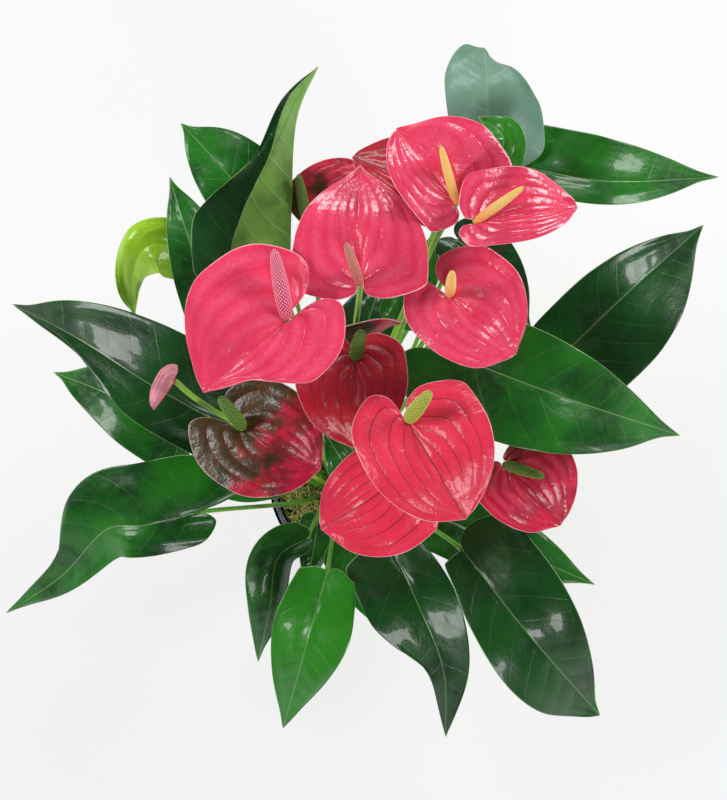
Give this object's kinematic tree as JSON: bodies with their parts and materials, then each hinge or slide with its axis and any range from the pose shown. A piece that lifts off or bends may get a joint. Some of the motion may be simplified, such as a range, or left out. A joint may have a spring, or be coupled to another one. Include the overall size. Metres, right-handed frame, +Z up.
{
  "type": "potted anthurium",
  "caption": "Potted anthurium with glossy heart-shaped pink spathes, spadices and pointed dark leaves over a small stone-look pot with moss.",
  "frame": {"origin": "centre of the pot's flat underside", "axes": "+Z up, +X to the right and -Y to the front, towards the side that the open flowers face"},
  "size_m": [0.5845, 0.5146, 0.4454],
  "materials": {
    "stone_pot": "rough, white-speckled",
    "soil": "matte, crumbly",
    "moss": "matte, curly",
    "leaf": "glossy",
    "spathe": "lacquer-glossy",
    "old_spathe": "glossy, greenish brown",
    "stem": "satin"
  },
  "bodies": {
    "root": {"pot": "stone_pot", "potting_soil": "soil", "moss": "moss", "crown": "stem", "leaf_01": "leaf", "leaf_02": "leaf", "leaf_03": "leaf", "leaf_04": "leaf", "leaf_05": "leaf", "leaf_06": "leaf", "leaf_07": "leaf", "leaf_08": "leaf", "leaf_09": "leaf", "leaf_10": "leaf", "leaf_11": "leaf", "leaf_12": "leaf", "leaf_13": "leaf", "leaf_14": "leaf", "leaf_15": "leaf", "leaf_16": "leaf", "leaf_17": "leaf", "leaf_18": "leaf", "leaf_19": "leaf", "leaf_20": "leaf", "leaf_21": "leaf", "leaf_22": "leaf", "leaf_23": "leaf", "leaf_24": "leaf", "spathe_01": "spathe", "spathe_02": "spathe", "spathe_03": "spathe", "spathe_04": "spathe", "spathe_05": "spathe", "spathe_06": "spathe", "spathe_07": "spathe", "spathe_08": "spathe", "spathe_09": "spathe", "spathe_10": "old_spathe", "spathe_11": "old_spathe", "spathe_12": "old_spathe", "spathe_13": "spathe", "spathe_14": "old_spathe", "flower_stalk_01": "stem", "flower_stalk_02": "stem", "flower_stalk_03": "stem", "flower_stalk_04": "stem", "flower_stalk_05": "stem", "flower_stalk_06": "stem", "flower_stalk_07": "stem", "flower_stalk_08": "stem", "flower_stalk_09": "stem", "flower_stalk_10": "stem", "flower_stalk_11": "stem", "flower_stalk_12": "stem", "flower_stalk_13": "stem", "flower_stalk_14": "stem"}
  },
  "joints": []
}
